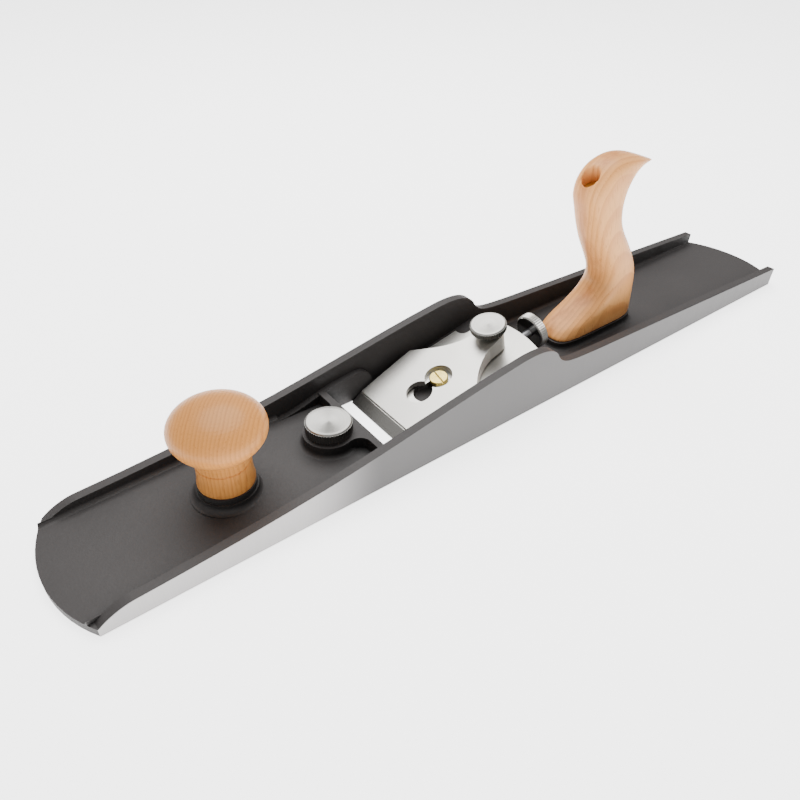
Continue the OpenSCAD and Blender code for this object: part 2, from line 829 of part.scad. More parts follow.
module lever_cap_knob() {
  grip_h = 4.6;
  hub_foot = cap_top(cap_knob_at + 7) + 0.5;
  color("#c9c6bf")
    on_bed(cap_knob_at, 0)
      difference() {
        union() {
          translate([0, 0, cap_knob_top - grip_h])
            turned_grip(cap_knob_d, grip_h, 46, 0.6);
          translate([0, 0, hub_foot])
            cylinder(h = cap_knob_top - grip_h - hub_foot + 0.1, r1 = 6.4, r2 = 7.4);
        }
        translate([0, 0, hub_foot - 1])
          cylinder(h = cap_knob_top - hub_foot - 1.4, d = cap_stud_d + tight);
        translate([0, 0, cap_knob_top - 0.3])
          cylinder(h = 0.35, r1 = 0.2, r2 = cap_knob_d / 2 - 1);
      }
}

module lever_cap_stud() {
  color("#8c8c8c")
    on_bed(cap_knob_at, 0) {
      translate([0, 0, foot_top + face_gap])
        cylinder(h = cap_knob_top - 2.6 - foot_top, d = cap_stud_d);
      translate([0, 0, cap_foot + 1.2])
        cylinder(h = foot_h, d = foot_neck_d);
    }
}

module lever_cap_foot() {
  color("#b8944a")
    on_bed(cap_knob_at, cap_foot)
      difference() {
        cylinder(h = foot_h, d = foot_d);
        translate([0, 0, 1.1])
          cylinder(h = foot_h, d = foot_neck_d + 2 * running);
      }
}

// ---------------------------------------------------------------- adjuster

// Places a child on the adjuster screw, Z running backwards along it
module on_rod(along)
  on_bed(along, -rod_depth)
    rotate([0, 90, 0])
      children();

module adjuster_wheel() {
  color("#c9c6bf")
    on_rod(wheel_at)
      difference() {
        turned_grip(wheel_d, wheel_w, 48, 0.7);
        translate([0, 0, -1])
          cylinder(h = wheel_w + 2, d = rod_d + tight);
        translate([0, 0, wheel_w / 2])
          rotate([0, 90, 0])
            cylinder(h = wheel_d, d = grub_d + tight);
      }
}

module adjuster_wheel_screw() {
  color("#6f6f6f")
    on_rod(wheel_at)
      translate([0, 0, wheel_w / 2])
        rotate([0, 90, 0])
          translate([0, 0, rod_d / 2 + 0.05])
            difference() {
              cylinder(h = wheel_d / 2 - rod_d / 2 - 1.4, d = grub_d);
              translate([0, 0, wheel_d / 2 - rod_d / 2 - 2.9])
                cylinder(h = 3, d = 1.6, $fn = 6);
            }
}

module adjuster_rod() {
  neck_d = rod_d - 1.6;
  color("#9b9b98") {
    on_rod(carriage_front + carriage_l + face_gap)
      cylinder(h = wheel_at + wheel_w + 1.2 - carriage_front - carriage_l, d = rod_d);
    difference() {
      on_rod(carriage_front - clip_room + 1)
        cylinder(h = carriage_l + clip_room - 0.9, d = neck_d);
      on_rod(carriage_front - face_gap - clip_h)
        difference() {
          cylinder(h = clip_h, d = 2 * rod_d);
          translate([0, 0, -1])
            cylinder(h = clip_h + 2, d = neck_d - 0.8);
        }
    }
  }
}

module adjuster_swivel() {
  color("#b8944a")
    difference() {
      on_bed(swivel_at, -swivel_depth)
        cylinder(h = swivel_depth - 0.5, d = swivel_d);
      on_rod(swivel_at - swivel_d)
        cylinder(h = 2 * swivel_d, d = rod_d + 2 * running);
    }
}

module adjuster_carriage() {
  color("#8f8d88")
    difference() {
      on_bed(carriage_front, -rod_depth - carriage_below)
        translate([0, -carriage_w / 2, 0])
          cube([carriage_l, carriage_w, rod_depth + carriage_below - 0.4]);
      on_rod(carriage_front - 1)
        cylinder(h = carriage_l + 2, d = rod_d - 1.6 + 2 * running);
      on_bed(pin_at, pin_foot - 0.05)
        cylinder(h = 5, d = pin_d + tight);
    }
}

module adjuster_pin() {
  color("#9b9b98")
    on_bed(pin_at, pin_foot) {
      cylinder(h = blade_thickness - 0.6 - pin_foot, d = pin_d);
      translate([0, 0, blade_thickness - 0.6 - pin_foot])
        cylinder(h = 0.4, d1 = pin_d, d2 = pin_d - 0.8);
    }
}

module adjuster_clip() {
  color("#6f6f6f")
    on_rod(carriage_front - face_gap - clip_h + 0.05)
      difference() {
        cylinder(h = clip_h - 0.1, d = rod_d + 2);
        translate([0, 0, -1])
          cylinder(h = clip_h + 2, d = rod_d - 2.4 + tight);
        translate([0, -1, -1])
          cube([rod_d, 2, clip_h + 2]);
      }
}

body_casting();
mouth_plate();
mouth_lock_stud();
mouth_lock_washer();
mouth_lock_knob();
front_knob();
front_knob_insert();
front_knob_stud();
tote();
tote_rod();
tote_nut();
tote_dowel();
blade();
lever_cap();
lever_cap_screw();
lever_cap_knob();
lever_cap_stud();
lever_cap_foot();
adjuster_wheel();
adjuster_wheel_screw();
adjuster_rod();
adjuster_swivel();
adjuster_carriage();
adjuster_pin();
adjuster_clip();
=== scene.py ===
"""Looks for a long low-angle bench plane: finishes, small worked details, floor, lights and camera."""

import math

import bpy
from mathutils import Matrix, Vector


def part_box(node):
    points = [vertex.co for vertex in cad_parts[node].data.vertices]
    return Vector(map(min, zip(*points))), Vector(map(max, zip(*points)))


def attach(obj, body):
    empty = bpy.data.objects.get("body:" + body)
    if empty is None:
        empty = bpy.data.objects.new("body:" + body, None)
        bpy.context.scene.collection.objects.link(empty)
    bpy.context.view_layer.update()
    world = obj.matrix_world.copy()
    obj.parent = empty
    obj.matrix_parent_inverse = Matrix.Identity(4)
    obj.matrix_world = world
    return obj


bl_info = {
    "name": "Low-Angle Bench Plane",
    "version": (1, 0, 0),
    "blender": (4, 5, 0),
    "location": "View3D > Sidebar > Plane",
    "description": "Finishes a long low-angle bench plane: cast iron, satin steel, brass and beech",
    "category": "Object",
}

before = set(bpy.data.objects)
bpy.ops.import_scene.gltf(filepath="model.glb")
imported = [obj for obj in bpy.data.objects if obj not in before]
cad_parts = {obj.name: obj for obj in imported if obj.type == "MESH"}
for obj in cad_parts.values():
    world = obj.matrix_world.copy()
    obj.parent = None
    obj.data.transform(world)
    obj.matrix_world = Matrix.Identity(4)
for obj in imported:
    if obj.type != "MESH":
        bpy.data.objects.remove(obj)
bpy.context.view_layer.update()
MM = 0.001
BED_ANGLE = math.radians(12)

HALF_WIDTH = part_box("body_casting")[1].y
EDGE_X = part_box("blade")[0].x
PLAIN_STEEL = (0.42, 0.42, 0.42)
ADJUSTER_STEEL = (0.40, 0.40, 0.41)
WASHER_STEEL = (0.30, 0.29, 0.28)
BLACKED_STEEL = (0.03, 0.03, 0.032)


# ---------------------------------------------------------------- sizes and colours a user would change


class PlaneFinishes(bpy.types.PropertyGroup):
    """Colours and surface sizes of the plane's finishes"""

    cast_colour: bpy.props.FloatVectorProperty(
        name="Casting",
        description="Dark skin of the cast body",
        subtype="COLOR",
        size=3,
        min=0,
        max=1,
        default=(0.036, 0.032, 0.031),
    )
    ground_colour: bpy.props.FloatVectorProperty(
        name="Ground faces",
        description="Bright ground iron of the sole and sides",
        subtype="COLOR",
        size=3,
        min=0,
        max=1,
        default=(0.098, 0.095, 0.094),
    )
    satin_colour: bpy.props.FloatVectorProperty(
        name="Satin steel",
        description="Stainless steel of the lever cap and the knobs",
        subtype="COLOR",
        size=3,
        min=0,
        max=1,
        default=(0.60, 0.585, 0.55),
    )
    brass_colour: bpy.props.FloatVectorProperty(
        name="Brass",
        description="Brass of the screws, nut and insert",
        subtype="COLOR",
        size=3,
        min=0,
        max=1,
        default=(0.62, 0.48, 0.15),
    )
    knob_wood_colour: bpy.props.FloatVectorProperty(
        name="Front knob wood",
        description="Main colour of the front knob's wood",
        subtype="COLOR",
        size=3,
        min=0,
        max=1,
        default=(0.60, 0.255, 0.062),
    )
    tote_wood_colour: bpy.props.FloatVectorProperty(
        name="Tote wood",
        description="Main colour of the tote's wood",
        subtype="COLOR",
        size=3,
        min=0,
        max=1,
        default=(0.80, 0.375, 0.125),
    )
    edge_softness: bpy.props.FloatProperty(
        name="Casting edge",
        description="Width of the eased edges of the casting",
        subtype="DISTANCE",
        unit="LENGTH",
        default=0.7 * MM,
        min=0.1 * MM,
        max=1.5 * MM,
    )
    machined_edge: bpy.props.FloatProperty(
        name="Machined edge",
        description="Width of the broken edges of the steel and brass pieces",
        subtype="DISTANCE",
        unit="LENGTH",
        default=0.25 * MM,
        min=0.05 * MM,
        max=0.6 * MM,
    )
    thread_pitch: bpy.props.FloatProperty(
        name="Thread pitch",
        description="Pitch of the adjuster screw's visible thread",
        subtype="DISTANCE",
        unit="LENGTH",
        default=1.0 * MM,
        min=0.5 * MM,
        max=1.5 * MM,
    )


class PlaneStudio(bpy.types.PropertyGroup):
    """Camera and lights of the studio"""

    view_from: bpy.props.FloatVectorProperty(
        name="Camera place",
        description="Where the camera stands, off the toe and the right side",
        subtype="TRANSLATION",
        unit="LENGTH",
        size=3,
        default=(-0.2775, -0.2662, 0.2807),
    )
    look_at: bpy.props.FloatVectorProperty(
        name="Looks at",
        description="Point between the front knob and the mouth that the camera looks at",
        subtype="TRANSLATION",
        unit="LENGTH",
        size=3,
        default=(-0.0747, -0.0054, 0.020),
    )
    roll: bpy.props.FloatProperty(
        name="Camera roll",
        description="Turn of the camera about its own view",
        subtype="ANGLE",
        unit="ROTATION",
        default=math.radians(0.89),
    )
    lens: bpy.props.FloatProperty(
        name="Lens",
        description="Focal length on a 36 mm sensor",
        default=32.54,
        min=10,
        max=200,
    )
    daylight: bpy.props.FloatProperty(
        name="Surrounding light",
        description="Strength of the even white light from all around",
        default=0.55,
        min=0,
        max=10,
    )
    floor_glow: bpy.props.FloatProperty(
        name="Floor glow",
        description="Strength of the white light that the floor gives off",
        default=2.8,
        min=0,
        max=10,
    )
    overhead_power: bpy.props.FloatProperty(
        name="Overhead power",
        description="Power of the large soft light above the plane",
        subtype="POWER",
        default=24,
        min=0,
        max=500,
    )
    side_power: bpy.props.FloatProperty(
        name="Side power",
        description="Power of the soft light in front of the right side",
        subtype="POWER",
        default=3,
        min=0,
        max=500,
    )


# ---------------------------------------------------------------- material building


class Recipe:
    """A material's nodes, added one at a time"""

    def __init__(self, name):
        self.material = bpy.data.materials.new(name)
        self.material.use_nodes = True
        self.tree = self.material.node_tree
        self.surface = self.tree.nodes["Principled BSDF"]
        self.place = self.add("ShaderNodeTexCoord").outputs["Object"]

    def add(self, kind, inputs=None, **settings):
        node = self.tree.nodes.new(kind)
        for name, value in settings.items():
            setattr(node, name, value)
        for name, value in (inputs or {}).items():
            self.put(node, name, value)
        return node

    def put(self, node, name, value):
        """Sets a socket to a number or colour, or links another node's output to it"""
        if isinstance(value, bpy.types.NodeSocket):
            self.tree.links.new(value, node.inputs[name])
        else:
            node.inputs[name].default_value = value

    def finish(self, **sockets):
        """Sets the surface's sockets, named with underscores for spaces"""
        for name, value in sockets.items():
            self.put(self.surface, name.replace("_", " "), value)
        return self.material

    def math(self, operation, a, b=0.0):
        return self.add("ShaderNodeMath", {0: a, 1: b}, operation=operation).outputs[0]

    def mix(self, factor, a, b):
        """A number between a and b"""
        return self.add("ShaderNodeMix", {0: factor, 2: a, 3: b}, data_type="FLOAT").outputs[0]

    def map_range(self, value, low, high, to_low=0.0, to_high=1.0, smooth=False):
        kind = "SMOOTHSTEP" if smooth else "LINEAR"
        inputs = {0: value, 1: low, 2: high, 3: to_low, 4: to_high}
        return self.add("ShaderNodeMapRange", inputs, interpolation_type=kind, clamp=True).outputs[0]

    def blend(self, factor, a, b):
        """A colour between a and b"""
        return self.add("ShaderNodeMix", {0: factor, 6: a, 7: b}, data_type="RGBA").outputs[2]

    def stretched(self, scale, turn=(0, 0, 0), shift=(0, 0, 0)):
        """The frame's coordinates, moved, turned and scaled"""
        inputs = {"Vector": self.place, "Location": shift, "Rotation": turn, "Scale": scale}
        return self.add("ShaderNodeMapping", inputs, vector_type="TEXTURE").outputs[0]

    def noise(self, scale, detail=3.0, roughness=0.5, where=None):
        inputs = {"Vector": where or self.place, "Scale": scale, "Detail": detail, "Roughness": roughness}
        return self.add("ShaderNodeTexNoise", inputs).outputs[0]

    def bump(self, height, distance, strength=1.0):
        inputs = {"Height": height, "Distance": distance, "Strength": strength}
        return self.add("ShaderNodeBump", inputs).outputs[0]


def shaded(colour, factor):
    return (colour[0] * factor, colour[1] * factor, colour[2] * factor, 1.0)


def cast_iron(finishes):
    """Dark cast skin, ground bright on the sole and the outer sides"""
    r = Recipe("cast_body")
    axes = r.add("ShaderNodeSeparateXYZ", {0: r.place})
    skin = r.noise(900, 5, 0.62)
    pits = r.noise(260, 3, 0.5)
    patches = r.noise(14, 3, 0.5)
    cast = finishes.cast_colour
    dark = r.blend(r.map_range(patches, 0.3, 0.7), shaded(cast, 0.85), shaded(cast, 1.15))
    dark = r.blend(r.map_range(skin, 0.35, 0.75, 0, 0.45), dark, shaded(cast, 1.7))
    # Painted shade: an ambient occlusion mask darkens the skin in the corners under the walls
    painted_corner_shade = r.add("ShaderNodeAmbientOcclusion", {"Distance": 30 * MM}, samples=6, only_local=True)
    clear_of_painted_shade = r.map_range(painted_corner_shade.outputs["AO"], 0.35, 0.95)
    dark = r.blend(clear_of_painted_shade, shaded(cast, 0.18), dark)

    # Ground faces: the outer sides and the sole
    from_middle = r.math("ABSOLUTE", axes.outputs[1])
    side = r.map_range(from_middle, HALF_WIDTH - 0.35 * MM, HALF_WIDTH - 0.15 * MM)
    sole = r.map_range(axes.outputs[2], 0.35 * MM, 0.15 * MM)
    ground = r.math("MAXIMUM", side, sole)
    lines = r.noise(55, 4, 0.6, where=r.stretched((0.03, 1.0, 1.0)))
    fine_lines = r.noise(900, 2, 0.5, where=r.stretched((0.02, 1.0, 1.0)))
    bright = r.blend(lines, shaded(finishes.ground_colour, 0.9), shaded(finishes.ground_colour, 1.08))
    # Painted highlight: the ground side is painted paler towards the toe end, where the light falls brightest
    painted_toe_highlight = r.map_range(axes.outputs[0], -112 * MM, -165 * MM, smooth=True)
    bright = r.blend(painted_toe_highlight, bright, shaded(finishes.ground_colour, 3.6))
    colour = r.blend(ground, dark, bright)
    rough_cast = r.map_range(skin, 0.3, 0.7, 0.52, 0.68)
    rough_ground = r.map_range(lines, 0.3, 0.7, 0.38, 0.48)
    roughness = r.mix(ground, rough_cast, rough_ground)
    cast_height = r.math("ADD", r.math("MULTIPLY", skin, 0.08 * MM), r.math("MULTIPLY", pits, 0.12 * MM))
    ground_height = r.math("MULTIPLY", fine_lines, 0.006 * MM)
    height = r.mix(ground, cast_height, ground_height)
    return r.finish(
        Base_Color=colour,
        Metallic=r.map_range(ground, 0, 1, 0.15, 1.0),
        Roughness=roughness,
        Normal=r.bump(height, 1.0),
    )


def turned_steel(name, colour, node, lean, roughness=0.30):
    """Steel turned on a lathe, with fine rings around its own axis and a darker knurled rim"""
    r = Recipe(name)
    low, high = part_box(node)
    centre = (low + high) / 2
    around = r.stretched((1, 1, 1), (0, lean, 0), tuple(centre))
    axes = r.add("ShaderNodeSeparateXYZ", {0: around})
    flat = r.add("ShaderNodeCombineXYZ", {0: axes.outputs[0], 1: axes.outputs[1]}).outputs[0]
    radius = r.add("ShaderNodeVectorMath", {0: flat}, operation="LENGTH").outputs["Value"]
    ring_at = r.add("ShaderNodeCombineXYZ", {0: radius}).outputs[0]
    rings = r.noise(2600, 3, 0.7, where=ring_at)
    broad_rings = r.noise(380, 2, 0.5, where=ring_at)
    tarnish = r.noise(60, 3, 0.5)
    rim = (high.y - low.y) / 2
    knurl = r.map_range(radius, rim - 1.0 * MM, rim - 0.55 * MM)
    tone = r.blend(r.map_range(tarnish, 0.3, 0.7), shaded(colour, 0.66), shaded(colour, 0.80))
    tone = r.blend(r.map_range(rings, 0.3, 0.7, 0.0, 0.45), tone, shaded(colour, 0.42))
    tone = r.blend(r.map_range(broad_rings, 0.35, 0.65, 0.0, 0.25), tone, shaded(colour, 0.95))
    tone = r.blend(knurl, tone, shaded(colour, 0.34))
    tangent = r.add("ShaderNodeTangent", direction_type="RADIAL", axis="Z").outputs[0]
    return r.finish(
        Base_Color=tone,
        Metallic=1.0,
        Roughness=r.map_range(rings, 0.3, 0.7, roughness - 0.05, roughness + 0.10),
        Anisotropic=0.75,
        Tangent=tangent,
        Normal=r.bump(rings, 0.012 * MM, 0.6),
    )


def wheel_steel(finishes):
    """A wheel with polished faces and a dull knurled rim; the faces carry a painted dark reflection"""
    r = Recipe("wheel_polished")
    low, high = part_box("adjuster_wheel")
    rim_radius = (high.y - low.y) / 2
    across = r.stretched((1, 1, 1), (0, -BED_ANGLE, 0), tuple((low + high) / 2))
    axes = r.add("ShaderNodeSeparateXYZ", {0: across})
    flat = r.add("ShaderNodeCombineXYZ", {1: axes.outputs[1], 2: axes.outputs[2]}).outputs[0]
    radius = r.add("ShaderNodeVectorMath", {0: flat}, operation="LENGTH").outputs["Value"]
    band = r.map_range(radius, rim_radius - 1.2 * MM, rim_radius - 0.9 * MM)
    marks = r.noise(1500, 2, 0.6)
    # Painted dark reflection: the polished faces are painted at half the rim's brightness
    tone = r.blend(band, shaded(finishes.satin_colour, 0.5), shaded(finishes.satin_colour, 0.95))
    tone = r.blend(r.map_range(marks, 0.35, 0.75, 0.0, 0.3), tone, shaded(finishes.satin_colour, 0.45))
    polish = r.map_range(marks, 0.3, 0.7, 0.05, 0.10)
    dull = r.map_range(marks, 0.3, 0.7, 0.34, 0.46)
    roughness = r.mix(band, polish, dull)
    return r.finish(Base_Color=tone, Metallic=1.0, Roughness=roughness, Normal=r.bump(marks, 0.004 * MM, 0.3))


def brushed_steel(name, colour, roughness=0.33, direction=(1.0, 0.05, 1.0), turn=(0, 0, 0)):
    """Steel with straight fine lines along one direction"""
    r = Recipe(name)
    lines = r.noise(1200, 2, 0.6, where=r.stretched(direction, turn))
    clouds = r.noise(25, 3, 0.5)
    tone = r.blend(r.map_range(clouds, 0.3, 0.7), shaded(colour, 0.9), shaded(colour, 1.07))
    tone = r.blend(r.map_range(lines, 0.3, 0.8, 0.0, 0.35), tone, shaded(colour, 0.72))
    return r.finish(
        Base_Color=tone,
        Metallic=1.0,
        Roughness=r.map_range(lines, 0.25, 0.75, roughness - 0.05, roughness + 0.09),
        Normal=r.bump(lines, 0.015 * MM, 0.7),
    )


def plain_metal(name, colour, roughness, metallic=1.0):
    """Plain turned metal with faint marks"""
    r = Recipe(name)
    marks = r.noise(500, 4, 0.6)
    clouds = r.noise(90, 3, 0.5)
    tone = r.blend(r.map_range(clouds, 0.3, 0.7), shaded(colour, 0.8), shaded(colour, 1.08))
    return r.finish(
        Base_Color=tone,
        Metallic=metallic,
        Roughness=r.map_range(marks, 0.3, 0.7, roughness - 0.06, roughness + 0.08),
        Normal=r.bump(marks, 0.03 * MM, 0.5),
    )


def beech(name, colour, layer_turn, layer_pitch, streak_depth, fibre_turn, heart=None):
    """Varnished beech: growth layers, short flecks and fine fibres.

    heart is the half width of a brown core, where it has faded out, and its strength.
    """
    r = Recipe(name)
    fibre = r.stretched((1.0, 1.0, 14.0), fibre_turn)
    sway = r.noise(24, 2, 0.4, where=r.stretched((1.0, 1.0, 4.0), fibre_turn))
    layers_at = r.stretched((1.0, 1.0, 1.0), layer_turn)
    axis = r.add("ShaderNodeSeparateXYZ", {0: layers_at}).outputs[0]
    swayed = r.math("ADD", axis, r.math("MULTIPLY", sway, 8 * MM))
    count = r.math("DIVIDE", swayed, layer_pitch)
    layer = r.math("FRACT", count)
    late_wood = r.map_range(layer, 0.25, 0.9, smooth=True)
    late_wood = r.math("MULTIPLY", late_wood, r.map_range(layer, 1.0, 0.93))
    uneven = r.noise(0.9, 2, 0.6, where=r.add("ShaderNodeCombineXYZ", {0: count}).outputs[0])
    late_wood = r.math("MULTIPLY", late_wood, r.map_range(uneven, 0.3, 0.7, 0.25, 1.0))
    fibres = r.noise(900, 3, 0.6, where=fibre)
    fine = r.noise(2200, 2, 0.6, where=fibre)
    flecks = r.map_range(r.noise(1300, 1, 0.4, where=r.stretched((1.0, 1.0, 9.0), fibre_turn)), 0.62, 0.72)
    clouds = r.noise(22, 3, 0.5, where=r.stretched((1.0, 1.0, 2.5), fibre_turn))

    tone = r.blend(r.map_range(clouds, 0.3, 0.7), shaded(colour, 0.92), shaded(colour, 1.10))
    brown = (colour[0] * 0.66, colour[1] * 0.50, colour[2] * 0.40, 1.0)
    deep_brown = (colour[0] * 0.5, colour[1] * 0.34, colour[2] * 0.22, 1.0)
    tone = r.blend(r.math("MULTIPLY", late_wood, streak_depth), tone, brown)
    if heart:
        middle, reach, depth = heart
        axes = r.add("ShaderNodeSeparateXYZ", {0: r.place})
        bend = r.math("MULTIPLY", r.math("SUBTRACT", sway, 0.5), 16 * MM)
        away = r.math("ABSOLUTE", r.math("SUBTRACT", axes.outputs[1], bend))
        core = r.map_range(away, reach, middle, smooth=True)
        streaks = r.noise(150, 3, 0.6, where=r.stretched((1.6, 1.0, 10.0), fibre_turn))
        broken = r.map_range(streaks, 0.38, 0.62)
        tone = r.blend(r.math("MULTIPLY", r.math("MULTIPLY", core, broken), depth), tone, brown)
    tone = r.blend(r.map_range(fibres, 0.35, 0.75, 0.0, 0.25), tone, shaded(colour, 0.74))
    tone = r.blend(r.map_range(fine, 0.4, 0.8, 0.0, 0.2), tone, shaded(colour, 1.3))
    tone = r.blend(r.math("MULTIPLY", flecks, 0.35), tone, deep_brown)
    relief = r.math("ADD", r.math("MULTIPLY", fibres, 0.6), r.math("MULTIPLY", late_wood, 0.25))
    return r.finish(
        Base_Color=tone,
        Roughness=r.map_range(fibres, 0.3, 0.7, 0.34, 0.48),
        Normal=r.bump(relief, 0.03 * MM, 0.6),
        Coat_Weight=0.08,
        Coat_Roughness=0.12,
        Specular_IOR_Level=0.2,
    )


def blade_steel(finishes):
    """Lapped tool steel with a darker ground bevel at the edge"""
    r = Recipe("tool_steel")
    lines = r.noise(900, 2, 0.6, where=r.stretched((1.0, 0.05, 1.0), (0, -BED_ANGLE, 0)))
    clouds = r.noise(30, 3, 0.5)
    from_edge = r.stretched((1, 1, 1), (0, -BED_ANGLE, 0), (EDGE_X, 0, 0))
    axes = r.add("ShaderNodeSeparateXYZ", {0: from_edge})
    bevel = r.map_range(axes.outputs[0], 7.6 * MM, 7.4 * MM)
    satin = finishes.satin_colour
    tone = r.blend(r.map_range(clouds, 0.3, 0.7), shaded(satin, 0.86), shaded(satin, 1.0))
    tone = r.blend(bevel, tone, shaded(satin, 0.55))
    tone = r.blend(r.map_range(lines, 0.3, 0.8, 0.0, 0.4), tone, shaded(satin, 0.6))
    return r.finish(
        Base_Color=tone,
        Metallic=1.0,
        Roughness=r.map_range(lines, 0.25, 0.75, 0.26, 0.40),
        Normal=r.bump(lines, 0.015 * MM, 0.7),
    )


# ---------------------------------------------------------------- working on the CAD pieces


def dress(node, material, edge=None):
    """Gives a CAD node its finish and, with an edge width, broken edges"""
    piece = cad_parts[node]
    for slot in piece.material_slots:
        slot.material = material
    if not piece.material_slots:
        piece.data.materials.append(material)
    if edge:
        merge = piece.modifiers.new("Merged triangles", "DECIMATE")
        merge.decimate_type = "DISSOLVE"
        merge.angle_limit = math.radians(0.6)
        bevel = piece.modifiers.new("Broken edges", "BEVEL")
        bevel.width = edge
        bevel.segments = 2
        bevel.limit_method = "ANGLE"
        bevel.angle_limit = math.radians(28)
        bevel.use_clamp_overlap = True
    return piece


def soften(node, voxel, passes):
    """Turns a CAD solid's flat facets into one smooth sanded skin"""
    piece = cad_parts[node]
    skin = piece.modifiers.new("Even skin", "REMESH")
    skin.mode = "VOXEL"
    skin.voxel_size = voxel
    skin.use_smooth_shade = True
    sanding = piece.modifiers.new("Sanding", "SMOOTH")
    sanding.factor = 0.5
    sanding.iterations = passes
    return piece


def new_piece(name, mesh, material, body):
    """Adds a mesh as a piece that rides on a CAD body"""
    piece = bpy.data.objects.new(name, mesh)
    bpy.context.scene.collection.objects.link(piece)
    piece.data.materials.append(material)
    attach(piece, body)
    return piece


def mesh_from(name, points, faces, smooth=True):
    mesh = bpy.data.meshes.new(name)
    mesh.from_pydata([tuple(p) for p in points], [], faces)
    mesh.validate()
    for face in mesh.polygons:
        face.use_smooth = smooth
    return mesh


# ---------------------------------------------------------------- the pieces, one operator each


class PLANE_OT_casting(bpy.types.Operator):
    """Finish the cast body: dark skin, ground sole and sides, eased edges"""

    bl_idname = "plane.casting"
    bl_label = "Casting"

    def execute(self, context):
        finishes = context.scene.plane_finishes
        dress("body_casting", cast_iron(finishes), finishes.edge_softness)
        return {"FINISHED"}


class PLANE_OT_front_knob(bpy.types.Operator):
    """Finish the front knob, its brass insert and its stud"""

    bl_idname = "plane.front_knob"
    bl_label = "Front knob"

    def execute(self, context):
        finishes = context.scene.plane_finishes
        wood = beech(
            "knob_wood",
            finishes.knob_wood_colour,
            layer_turn=(0, 0, math.radians(-40)),
            layer_pitch=1.9 * MM,
            streak_depth=0.75,
            fibre_turn=(0, 0, 0),
        )
        dress("front_knob", wood)
        dress("front_knob_insert", plain_metal("knob_brass", finishes.brass_colour, 0.35))
        dress("front_knob_stud", plain_metal("knob_stud_steel", PLAIN_STEEL, 0.4))
        return {"FINISHED"}


class PLANE_OT_tote(bpy.types.Operator):
    """Finish the tote and the fastenings that hold it"""

    bl_idname = "plane.tote"
    bl_label = "Tote"

    def execute(self, context):
        finishes = context.scene.plane_finishes
        wood = beech(
            "tote_wood",
            finishes.tote_wood_colour,
            layer_turn=(0, math.radians(-8), math.radians(96)),
            layer_pitch=3.4 * MM,
            streak_depth=0.7,
            fibre_turn=(0, math.radians(-14), 0),
            heart=(2.5 * MM, 7.5 * MM, 0.85),
        )
        dress("tote", wood)
        soften("tote", 0.8 * MM, 8)
        dress("tote_nut", plain_metal("nut_brass", finishes.brass_colour, 0.35), finishes.machined_edge)
        dress("tote_rod", plain_metal("tote_rod_steel", PLAIN_STEEL, 0.4))
        dress("tote_dowel", plain_metal("dowel_steel", PLAIN_STEEL, 0.4))
        return {"FINISHED"}


class PLANE_OT_blade(bpy.types.Operator):
    """Finish the blade and its ground bevel"""

    bl_idname = "plane.blade"
    bl_label = "Blade"

    def execute(self, context):
        finishes = context.scene.plane_finishes
        dress("blade", blade_steel(finishes), finishes.machined_edge * 0.4)
        return {"FINISHED"}


class PLANE_OT_lever_cap(bpy.types.Operator):
    """Finish the lever cap, its clamping screw, knob, stud and foot"""

    bl_idname = "plane.lever_cap"
    bl_label = "Lever cap"

    def execute(self, context):
        finishes = context.scene.plane_finishes
        satin = finishes.satin_colour
        cap = brushed_steel("cap_satin", satin, 0.36, (1.0, 0.06, 1.0), (0, -BED_ANGLE, 0))
        dress("lever_cap", cap, finishes.machined_edge * 1.6)
        screw_brass = plain_metal("cap_screw_brass", finishes.brass_colour, 0.28)
        dress("lever_cap_screw", screw_brass, finishes.machined_edge)
        dress("lever_cap_knob", turned_steel("cap_knob_satin", satin, "lever_cap_knob", -BED_ANGLE))
        dress("lever_cap_stud", plain_metal("cap_stud_steel", PLAIN_STEEL, 0.35))
        dress("lever_cap_foot", plain_metal("cap_foot_brass", finishes.brass_colour, 0.35))
        return {"FINISHED"}


class PLANE_OT_mouth(bpy.types.Operator):
    """Finish the sliding mouth plate and the knob that clamps it"""

    bl_idname = "plane.mouth"
    bl_label = "Mouth"

    def execute(self, context):
        finishes = context.scene.plane_finishes
        ground = brushed_steel("plate_ground", finishes.ground_colour, 0.4, (0.05, 1.0, 1.0))
        dress("mouth_plate", ground)
        dress("mouth_lock_stud", plain_metal("lock_stud_steel", PLAIN_STEEL, 0.4))
        dress("mouth_lock_washer", plain_metal("lock_washer_steel", WASHER_STEEL, 0.45))
        satin = turned_steel("lock_knob_satin", finishes.satin_colour, "mouth_lock_knob", 0.0)
        dress("mouth_lock_knob", satin)
        return {"FINISHED"}


